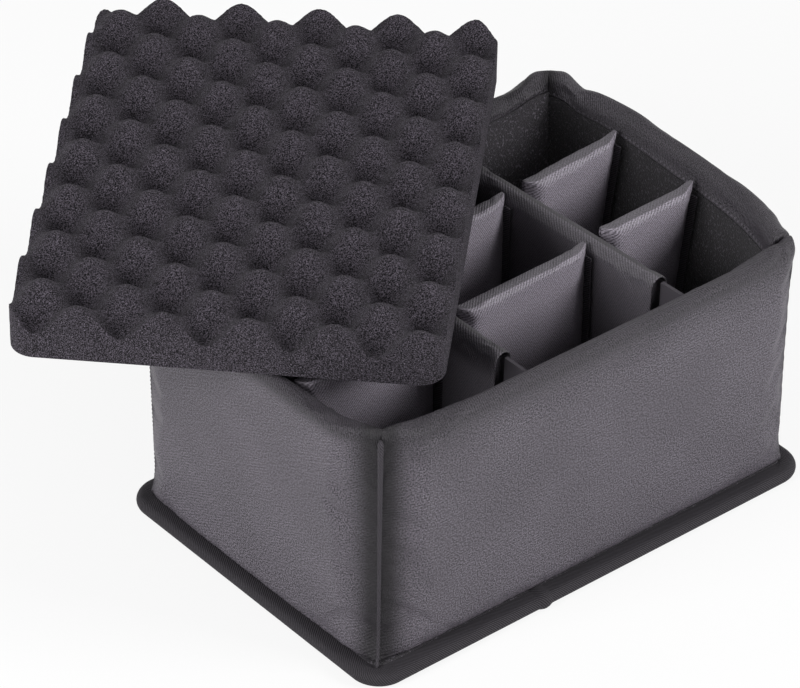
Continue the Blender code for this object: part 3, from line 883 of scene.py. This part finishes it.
# %% [markdown]
# ## Corner seams
#
# Where two walls meet, the cloths are sewn together, and the seam stands in the groove as a ridge
# with slanted stitches. A ribbed tube that tapers at its top, like a thin rope, has that look.

# %% Corner seams
SEAM_TOP = 0.0013
SEAM_BOTTOM = 0.0007
SEAM_PAST = 0.0015
SEAM_TAPER = 0.0030
SEAM_OUTS = {
    "front_left": 0.0007,
    "front_right": -0.0014,
    "back_right": -0.0006,
    "back_left": -0.0009,
}
STITCH = 0.0021
STITCH_RELIEF = 0.00014
RINGS_PER_STITCH = 5
SEAM_RING = 10


def make_seam(corner):
    """A ridge of slanted stitches between the two walls that meet at a corner."""
    side = next(name for name, wall in SIDES.items() if wall["ends"][1] == corner)
    following = next(name for name, wall in SIDES.items() if wall["ends"][0] == corner)
    turn = math.radians(SIDES[side]["turn"])
    outwards = Vector((math.cos(turn) + math.sin(turn), math.sin(turn) - math.cos(turn), 0))
    shift = outwards.normalized() * SEAM_OUTS[corner]
    rings = round((SHOULDER - FOOT) / STITCH * RINGS_PER_STITCH)
    heights = even_steps(FOOT, SHOULDER + SEAM_PAST, rings)
    ring = even_steps(0, TURN, SEAM_RING)

    def place(z, angle):
        middle = (wall_point(side, 1.0, 0.0, z) + wall_point(following, -1.0, 0.0, z)) / 2
        full = SEAM_BOTTOM + (SEAM_TOP - SEAM_BOTTOM) * height_share(z) ** 2
        radius = full * min(1.0, (heights[-1] - z) / SEAM_TAPER + 0.3)
        radius += STITCH_RELIEF * math.sin(TURN * z / STITCH + angle * 2)
        away = Vector((math.cos(angle), math.sin(angle), 0))
        return middle + shift + away * radius, (angle * SEAM_TOP, z)

    bm = closed_tube(heights, ring, place)
    add_piece(corner + "_stitched_seam", bm, seam_tape, "box", [corner + "_seam"])


for corner in DRIFTS:
    make_seam(corner)
print("stitches lie", STITCH * 1000, "mm apart")

# %% [markdown]
# ## The binding
#
# A ribbed tape is folded over the edge of the base panel and sewn. It is swept round the panel's
# outline. At the round corners the tape has too much length inside, so it gathers in small pleats.
# Where its two ends meet, at the front, one laps over the other in a low bump.

# %% Binding
BINDING = 0.0008
BINDING_LEG = 0.0090
LAP_HALF = 0.0032
LAP_LIFT = 0.0009
LAP_CENTRE = -0.125 * BODY_WIDTH
TAPE_STEP = 0.0012
TAPE_WAVE = 0.00015
WAVES_PER_METRE = 90
PLEATS_PER_CORNER = 6
PLEAT_HEIGHT = 0.0004


def tape_outline():
    """Spots round the panel's edge.

    Each has its place, its direction outwards, the distance travelled and its share of a corner.
    """
    spots = []
    travelled = 0.0
    quarter = TURN / 4 * BASE_CORNER
    steps = round(quarter / TAPE_STEP) * 2
    for wall in SIDES.values():
        out = wall["out"] + BASE_LEDGE
        run = wall["half"] + BASE_LEDGE - BASE_CORNER
        spin = Matrix.Rotation(math.radians(wall["turn"]), 3, "Z")
        straight = spin @ Vector((0, -1, 0))
        for x in even_steps(-run, run, round(2 * run / TAPE_STEP))[:-1]:
            spots.append((spin @ Vector((x, -out, 0)), straight, travelled + x + run, 0.0))
        travelled += 2 * run
        for index in range(steps):
            angle = math.radians(-90 + 90 * index / steps)
            away = Vector((math.cos(angle), math.sin(angle), 0))
            spot = spin @ (Vector((run, -(out - BASE_CORNER), 0)) + away * BASE_CORNER)
            distance = travelled + quarter * index / steps
            spots.append((spot, spin @ away, distance, index / steps))
        travelled += quarter
    return spots + [(*spots[0][:2], travelled, 0.0)]


def tape_section(lift):
    """The tape's way from under the panel, round its nose and up to the wall's foot."""
    radius = BASE_HEIGHT / 2
    nose = [(radius - x, max(0.0, z)) for x, z in arc(0.0, radius, radius + lift, -90, 90, 12)]
    under = [(inset, 0.0) for inset in even_steps(BINDING_LEG, radius, 4)[:-1]]
    over = [(inset, BASE_HEIGHT + lift) for inset in even_steps(radius, BINDING_LEG, 6)[1:]]
    return under + nose + over


def make_strip(ring, lifts):
    """The tape along part of the outline, lifted off the panel by a length at each spot."""
    travelled = lengths_along(tape_section(0.0))

    def place(column, row):
        spot, away, distance, turned = ring[column]
        inset, z = tape_section(lifts[column])[row]
        pleat = math.sin(math.pi * turned) * math.sin(TURN * PLEATS_PER_CORNER * turned) ** 2
        rise = pleat * PLEAT_HEIGHT * (inset / BINDING_LEG) * (z / BASE_HEIGHT)
        wave = noise.noise(Vector((distance * WAVES_PER_METRE, row * 0.3, 0)))
        height = z - rise + wave * TAPE_WAVE * (z / BASE_HEIGHT) - TAPE_WAVE
        return spot - away * inset + Vector((0, 0, height)), (distance, travelled[row])

    bm = cloth_grid(range(len(ring)), range(len(travelled)), place)
    bmesh.ops.remove_doubles(bm, verts=bm.verts, dist=MERGE)
    bmesh.ops.recalc_face_normals(bm, faces=bm.faces)
    return bm


outline = tape_outline()
strip = make_strip(outline, [0.0] * len(outline))
edge_binding = add_piece("edge_binding", strip, tape, "box", ["base_binding"])
thickness = edge_binding.modifiers.new("thickness", "SOLIDIFY")
thickness.thickness = BINDING
thickness.offset = -1.0

near_lap = [
    spot for spot in outline
    if spot[0].y < 0 and abs(spot[0].x - LAP_CENTRE) < LAP_HALF + TAPE_STEP / 2
]
lap_shares = [min(1.0, abs(spot[0].x - LAP_CENTRE) / LAP_HALF) for spot in near_lap]
lap = make_strip(near_lap, [LAP_LIFT * (1 - share ** 2) for share in lap_shares])
add_piece("tape_lap", lap, tape, "box", ["binding_lap"])
print("the binding is", round(outline[-1][2] * 1000), "mm long")

# %% [markdown]
# ## Where the dividers end
#
# A divider reaches from face to face. The walls lean and bow, so the place of each face depends on
# the height, and a divider's ends follow it.

# %% Ends of the dividers
LONG_THICK = 0.0086
LONG_TOP = 0.1145
LONG_TAB = 0.0155
LONG_PLACES = {
    "left_divider": (-0.128 * BODY_WIDTH, 0.0),
    "right_divider": (0.238 * BODY_WIDTH, -0.048),
}
SHORT_THICK = 0.0074
SHORT_TOP = 0.1150
SHORT_PLACES = {
    "left_front": (-0.125, 0.0),
    "left_back": (0.215, 0.0),
    "middle_front": (-0.124, 0.035),
    "middle_back": (0.205, 0.02),
    "right_front": (-0.085, 0.05),
    "right_back": (0.230, 0.09),
}
CLOTH = 0.0008

# Room that each end keeps so that it slides past a face that slants or bows: left end, right end
EASES = {
    "left_front": (0.0003, 0.0),
    "left_back": (0.0008, 0.0),
    "middle_front": (0.0, 0.0015),
    "middle_back": (0.0, 0.0015),
    "right_front": (0.0015, 0.0012),
    "right_back": (0.0015, 0.0018),
}


def inner_face(side, along_place, z):
    """Distance of a wall's inner face from the middle, at a place along the wall."""
    wall = SIDES[side]
    turn = math.radians(wall["turn"])
    sign = round(math.cos(turn) + math.sin(turn))
    along = max(-1.0, min(1.0, sign * along_place / (wall["half"] - WALL)))
    drift = corner_drift(side, along) * height_share(z)
    outwards = Vector((math.sin(turn), -math.cos(turn)))
    return wall["out"] - WALL + wall_bow(side, along, z) + drift.dot(outwards)


def long_centre(name, y):
    centre, slope = LONG_PLACES[name]
    return centre + slope * y


def short_reach(cell, z):
    """Left and right end of a short divider at a height."""
    column = cell.split("_")[0]
    y = SHORT_PLACES[cell][0] * BODY_DEPTH
    left_long, right_long = (long_centre(name, y) for name in LONG_PLACES)
    if column == "left":
        return -inner_face("left", y, z), left_long - LONG_THICK / 2
    if column == "middle":
        return left_long + LONG_THICK / 2, right_long - LONG_THICK / 2
    return right_long + LONG_THICK / 2, inner_face("right", y, z)


# %% [markdown]
# ## The dividers
#
# Each divider is a foam board in a sewn sleeve. The sleeve is a tube whose ends stand open, so its
# end rings are taken a little way back inside and closed there. The short ones have a flat top with
# a sharp folded edge in front, and are pinched together where their hook tabs are sewn in.

# %% Divider sleeves
DIVIDER_STEP = 0.0020
SLEEVE_RECESS = 0.0040
SHORT_FOOT = 0.0016
TIP_HEIGHT = 0.0050
PINCH_TO = 0.25
PINCH_LENGTHS = (0.0040, 0.0090)
HELD_HEIGHT = 0.0040
FRONT_EDGE = 0.0014
BACK_EDGE = 0.0009
SLEEVE_PRESSURE = 3.0
SLEEVE_SWELL = 0.0007
SLEEVE_SLACK = 0.008


def section_of(half, low, top, round_top):
    """Outline across a divider as (across, height) spots: over the top, down and back up."""
    if round_top:
        crest = arc(0.0, top - half, half, 180, 0, 16)
    else:
        crest = arc(-half + FRONT_EDGE, top - FRONT_EDGE, FRONT_EDGE, 180, 90, 5)
        crest += [(x, top) for x in even_steps(-half + FRONT_EDGE, half - BACK_EDGE, 4)[1:-1]]
        crest += arc(half - BACK_EDGE, top - BACK_EDGE, BACK_EDGE, 90, 0, 3)
    shoulder_left, shoulder_right = crest[0][1], crest[-1][1]
    rows = round((top - low) / DIVIDER_STEP)
    down = [(half, z) for z in even_steps(shoulder_right, low + BACK_EDGE, rows)[1:]]
    sole = arc(half - BACK_EDGE, low + BACK_EDGE, BACK_EDGE, 0, -90, 2)[1:]
    sole += arc(-half + BACK_EDGE, low + BACK_EDGE, BACK_EDGE, -90, -180, 2)
    rise = [(-half, z) for z in even_steps(low + BACK_EDGE, shoulder_left, rows)[1:-1]]
    return crest + down + sole + rise


def make_sleeve(name, section, reach, place, finish, body, nodes):
    """Closed tube along steps, its ends taken back inside, swelled by a little air."""
    loop = section + [section[0]]
    travelled = lengths_along(loop)
    steps = even_steps(-1, 1, round(2 * reach / DIVIDER_STEP))
    bm = cloth_grid(
        steps, range(len(loop)),
        lambda share, row: (place(*loop[row], share), (share * reach, travelled[row])),
    )
    bmesh.ops.remove_doubles(bm, verts=bm.verts, dist=0.00001)
    middle = sum((vert.co for vert in bm.verts), Vector()) / len(bm.verts)
    axis = (place(0.0, LONG_TOP / 2, 1.0) - place(0.0, LONG_TOP / 2, -1.0)).normalized()
    open_ends = [edge for edge in bm.edges if edge.is_boundary]
    for sign in (-1, 1):
        chosen = [edge for edge in open_ends if (edge.verts[0].co - middle).dot(axis) * sign > 0]
        chosen, ring = next_ring(bm, chosen)
        centre = sum((vert.co for vert in ring), Vector()) / len(ring)
        for vert in ring:
            inward = centre - vert.co
            inward -= axis * inward.dot(axis)
            level = Vector((inward.x, inward.y, 0))
            rise = Vector((0, 0, inward.z))
            sideways = level * min(1.0, CLOTH / max(level.length, 1e-6)) * 0.8
            vert.co += sideways + rise * min(1.0, CLOTH / max(rise.length, 1e-6))
        for vert in next_ring(bm, chosen)[1]:
            vert.co -= axis * sign * SLEEVE_RECESS
    close_holes(bm)
    piece = add_piece(name, bm, finish, body, nodes)
    spots = cloth_spots(piece)
    held = [
        vert.index for vert in piece.data.vertices
        if vert.co.z < FOOT + HELD_HEIGHT or abs(spots[vert.index].x) > reach - DIVIDER_STEP / 2
    ]
    swell = simulate_cloth(piece, held, SLEEVE_PRESSURE, SLEEVE_SWELL, SLEEVE_SLACK)
    soften(piece)
    print(piece.name, "swells", round(swell * 1000, 2), "mm before the cap")


def make_long(name):
    """A long divider's round-topped sleeve, between its two hook tabs."""
    half = LONG_THICK / 2
    section = section_of(half, FOOT, LONG_TOP, True)

    def end(sign, z):
        side = "back" if sign > 0 else "front"
        return sign * (inner_face(side, long_centre(name, sign * HALF_DEPTH), z) - GAP - LONG_TAB)

    def place(w, z, share):
        y = end(-1, z) + (end(1, z) - end(-1, z)) * (share + 1) / 2
        return Vector((long_centre(name, y) + w, y, z))

    reach = (end(1, LONG_TOP) - end(-1, LONG_TOP)) / 2
    nodes = [name + "_sleeve", name + "_foam"]
    make_sleeve("long_" + name, section, reach, place, long_twill, "divider_grid", nodes)


def make_short(cell):
    """A short divider's flat-topped sleeve, pinched at both ends."""
    half = SHORT_THICK / 2
    centre, slope = SHORT_PLACES[cell]
    section = section_of(half, FOOT, SHORT_TOP, False)
    left, right = short_reach(cell, FOOT)
    middle = (left + right) / 2

    def place(w, z, share):
        left, right = short_reach(cell, z)
        tip = smooth_share(z, SHORT_TOP - TIP_HEIGHT, SHORT_TOP - TIP_HEIGHT / 2)
        foot = SHORT_FOOT * (1 - tip)
        left = left + GAP + max(foot, EASES[cell][0])
        right = right - GAP - max(foot, EASES[cell][1])
        x = left + (right - left) * (share + 1) / 2
        near = max(0.0, 1 - min((x - left) / PINCH_LENGTHS[0], (right - x) / PINCH_LENGTHS[1]))
        pinch = 1 - (1 - PINCH_TO) * near ** 1.2
        y = centre * BODY_DEPTH + slope * (x - middle) + w * pinch + half * (1 - pinch)
        return Vector((x, y, z))

    body = cell + "_divider"
    nodes = [body + "_sleeve", body + "_foam"]
    make_sleeve("short_" + body, section, (right - left) / 2, place, twill, body, nodes)


for name in LONG_PLACES:
    make_long(name)
for cell in SHORT_PLACES:
    make_short(cell)

# %% [markdown]
# ## Hook tabs
#
# Hook tape is sewn into each end of a divider and spreads into a foot that grips the wall's pile.
# From above a tab is a thin T, so a T outline is carried up the divider's height. The tabs of the
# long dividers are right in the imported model, and only get the finish of hook tape.

# %% Hook tabs
TAB_THICK = 0.0012
FOOT_THICK = 0.0008
FOOT_HALF = 0.0048
TAB_BOTTOM = FOOT + 0.0030
TAB_TOP = SHORT_TOP - 0.0060
TAB_ROOT = 0.0030
TAB_ROWS = 16
TAB_EDGE = math.radians(50)


def tab_outline(length):
    """T seen from above: stem from the sleeve, foot on the pile, as (outwards, across) spots."""
    stem, foot = TAB_THICK / 2, length - FOOT_THICK
    ends = arc(foot + FOOT_THICK / 2, FOOT_HALF, FOOT_THICK / 2, 180, 0, 4)
    other = [(x, -y) for x, y in reversed(ends)]
    return [(0, -stem), (0, stem), (foot, stem), *ends, *other, (foot, -stem), (0, -stem)]


def make_short_tab(cell, sign):
    """A T of hook tape up one end of a short divider: the left for -1, the right for 1."""
    half = SHORT_THICK / 2
    centre, slope = SHORT_PLACES[cell]
    heights = even_steps(TAB_BOTTOM, TAB_TOP, TAB_ROWS)
    around = tab_outline(TAB_ROOT + SHORT_FOOT)
    travelled = lengths_along(around)
    left, right = short_reach(cell, FOOT)
    middle = (left + right) / 2

    def place(z, row):
        left, right = short_reach(cell, z)
        outwards, across = around[row]
        wall = right - GAP - EASES[cell][1] if sign > 0 else left + GAP + EASES[cell][0]
        x = wall - sign * (TAB_ROOT + SHORT_FOOT - outwards)
        y = centre * BODY_DEPTH + slope * (x - middle) + half * (1 - PINCH_TO) + across * sign
        return Vector((x, y, z)), (z, travelled[row])

    bm = closed_tube(heights, range(len(around)), place)
    side = "right" if sign > 0 else "left"
    body = cell + "_divider"
    name, node = cell + "_" + side + "_hook_tab", body + "_" + side + "_tab"
    piece = add_piece(name, bm, hook_tape, body, [node])
    piece.data.set_sharp_from_angle(angle=TAB_EDGE)


for cell in SHORT_PLACES:
    for sign in (-1, 1):
        make_short_tab(cell, sign)
long_tabs = [
    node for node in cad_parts
    if node.endswith("_tab") and not node.startswith(tuple(SHORT_PLACES))
]
for node in long_tabs:
    holder = bpy.data.objects[node]
    holder.data.materials.clear()
    holder.data.materials.append(hook_tape)
print(2 * len(SHORT_PLACES), "new hook tabs and", len(long_tabs), "kept ones")

# %% [markdown]
# ## The foam pad
#
# Convoluted foam is cut by a machine that squeezes the sheet between studded rollers, which leaves
# crests and hollows in staggered rows. Two crossed cosine waves have just that form, so a fine grid
# takes its heights from them. Cutting planes round its corners, and the rim is extruded down. Each
# point also keeps how deep in a hollow it lies, and the foam is painted a little darker there,
# as shade.

# %% Foam pad
PAD_WIDTH = 0.1773
PAD_LENGTH = 0.2391
PAD_CREST = 0.0256
PAD_VALLEY = 0.0115
PAD_CORNER = 0.0110
PAD_PITCH = 0.0345
PAD_TURN = math.radians(-45.8)
PAD_PLACE = Vector((-0.202 * BODY_WIDTH, 0.544 * BODY_DEPTH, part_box("lid_pad")[0].z))
PAD_PHASES = (0.722, 0.448)
PAD_STEP = 0.00085
CREST_FULLNESS = 0.92
CUT_ROWS = (0.96, 0.8, 0.6, 0.4, 0.2, 0.05, 0.0)
RIM_SHADE = 0.3
CUT_SHADE = 0.2
FROTH = 0.00022
FROTH_LUMPS = 1400
PAD_EDGE = math.radians(65)


def pad_height(x, y):
    """Height of the pad's top over its flat underside."""
    across = TURN * (x / PAD_PITCH + PAD_PHASES[0])
    along = TURN * (y / PAD_PITCH + PAD_PHASES[1])
    wave = (1 + math.cos(across) * math.cos(along)) / 2
    return PAD_VALLEY + (PAD_CREST - PAD_VALLEY) * wave ** CREST_FULLNESS


def round_off_corners(bm, half_x, half_y, radius, count):
    """Cuts a rectangle's corners round with planes that touch the arc."""
    for sign_x, sign_y in ((1, 1), (-1, 1), (-1, -1), (1, -1)):
        centre = Vector((sign_x * (half_x - radius), sign_y * (half_y - radius), 0))

        def at_corner(face):
            spot = face.calc_center_median() - centre
            beside = min(spot.x * sign_x, spot.y * sign_y)
            return spot.xy.length > radius * 0.9 and beside > -radius * 0.1

        for angle in (math.radians(degrees) for degrees in even_steps(0, 90, count)):
            away = Vector((sign_x * math.cos(angle), sign_y * math.sin(angle), 0))
            near = [face for face in bm.faces if at_corner(face)]
            edges = dict.fromkeys(edge for face in near for edge in face.edges)
            verts = dict.fromkeys(vert for face in near for vert in face.verts)
            bmesh.ops.bisect_plane(
                bm, geom=[*near, *edges, *verts], plane_co=centre + away * radius, plane_no=away,
                clear_outer=True,
            )
    bmesh.ops.remove_doubles(bm, verts=bm.verts, dist=0.00005)


def make_pad():
    columns = round(PAD_WIDTH / PAD_STEP)
    rows = round(PAD_LENGTH / PAD_STEP)
    bm = bmesh.new()
    bmesh.ops.create_grid(bm, x_segments=columns, y_segments=rows, size=0.5)
    bmesh.ops.scale(bm, verts=bm.verts, vec=(PAD_WIDTH, PAD_LENGTH, 1))
    round_off_corners(bm, PAD_WIDTH / 2, PAD_LENGTH / 2, PAD_CORNER, 14)
    for vert in bm.verts:
        vert.co.z = pad_height(vert.co.x, vert.co.y)
    # Painted shade: deeper in a hollow is darker; the rim and the cut sides get a fixed share.
    hollow_shade = bm.verts.layers.float.new("hollow_shade")
    for vert in bm.verts:
        deep = smooth_share(-vert.co.z, -PAD_CREST, -PAD_VALLEY)
        vert[hollow_shade] = RIM_SHADE if vert.is_boundary else deep
    rim = [edge for edge in bm.edges if edge.is_boundary]
    for share in CUT_ROWS:
        rim, ring = next_ring(bm, rim)
        for vert in ring:
            vert.co.z = pad_height(vert.co.x, vert.co.y) * share
            vert[hollow_shade] = CUT_SHADE
    close_holes(bm)
    bm.normal_update()
    for vert in bm.verts:
        if vert.co.z > 0:
            vert.co += vert.normal * noise.noise(vert.co * FROTH_LUMPS) * FROTH
    bmesh.ops.transform(bm, matrix=Matrix.Rotation(PAD_TURN, 4, "Z"), verts=bm.verts)
    bmesh.ops.translate(bm, verts=bm.verts, vec=PAD_PLACE)
    return bm


pad = add_piece("foam_lid_pad", make_pad(), foam, "lid_pad", ["lid_pad"])
pad.data.set_sharp_from_angle(angle=PAD_EDGE)
print("the pad has", len(pad.data.polygons), "faces")

# %% [markdown]
# ## Stage and light
#
# The floor is pale and keeps a faint shadow. Large soft lamps stand to the left, to the right and
# above, so no face of the dark cloth is lost.


# %% Stage and light
FLOOR_SIZE = 12.0
FLOOR_GLOW_SHARE = 0.85
FLOOR_LEVEL = 0.85
WORLD_LEVEL = 0.30

stage_mesh = bmesh.new()
bmesh.ops.create_grid(stage_mesh, x_segments=1, y_segments=1, size=FLOOR_SIZE / 2)
floor_data = bpy.data.meshes.new("floor")
stage_mesh.to_mesh(floor_data)
stage_mesh.free()
floor = bpy.data.objects.new("floor", floor_data)
floor.location.z = -GAP
bpy.context.scene.collection.objects.link(floor)


def seen_directly(wire):
    """1 for rays of the camera and for mirrored ones, so that gloss shows the same white."""
    rays = wire.tree.nodes.new("ShaderNodeLightPath")
    camera_ray, glossy, through = (
        Wire(wire.tree, rays.outputs[name])
        for name in ("Is Camera Ray", "Is Glossy Ray", "Is Transmission Ray")
    )
    return (camera_ray + glossy + through).clamped()


floor_finish, floor_shader, floor_place, _ = new_finish("pale_floor", 0.9)
floor_shader.inputs["Base Color"].default_value = (FLOOR_LEVEL, FLOOR_LEVEL, FLOOR_LEVEL, 1.0)
floor_data.materials.append(floor_finish)
glow = floor_place.node("ShaderNodeEmission", None, {"Color": (1, 1, 1, 1), "Strength": 1.0})
tree = floor_finish.node_tree
lit = Wire(tree, floor_shader.outputs[0])
glow_share = seen_directly(glow) * FLOOR_GLOW_SHARE
mixed = glow.node("ShaderNodeMixShader", None, {0: glow_share, 1: lit, 2: glow})
tree.links.new(mixed.socket, tree.nodes["Material Output"].inputs["Surface"])

world = bpy.data.worlds.new("studio")
bpy.context.scene.world = world
world.use_nodes = True
sky = world.node_tree.nodes["Background"]
sky.inputs["Color"].default_value = (1.0, 1.0, 1.0, 1.0)
direct = seen_directly(Wire(world.node_tree, sky.outputs[0]))
level = direct * (1 - WORLD_LEVEL) + WORLD_LEVEL
world.node_tree.links.new(level.socket, sky.inputs["Strength"])

LAMPS = {
    "left_lamp": {"from": (-1.50, 0.00, 0.85), "size": 0.8, "power": 24.0},
    "right_lamp": {"from": (1.05, -1.45, 0.95), "size": 0.8, "power": 33.0},
    "top_lamp": {"from": (0.2, 0.6, 1.8), "size": 1.4, "power": 2.0},
}


def soft_lamp(name, spot, size, power):
    """A square lamp that faces the middle of the box."""
    lamp = bpy.data.objects.new(name, bpy.data.lights.new(name, "AREA"))
    lamp.data.size = size
    lamp.data.energy = power
    lamp.location = spot
    lamp.rotation_euler = (CAMERA_AIM - Vector(spot)).to_track_quat("-Z", "Y").to_euler()
    bpy.context.scene.collection.objects.link(lamp)


for name, lamp in LAMPS.items():
    soft_lamp(name, lamp["from"], lamp["size"], lamp["power"])
bpy.context.scene.view_settings.view_transform = "Standard"
print(len(LAMPS), "soft lamps")
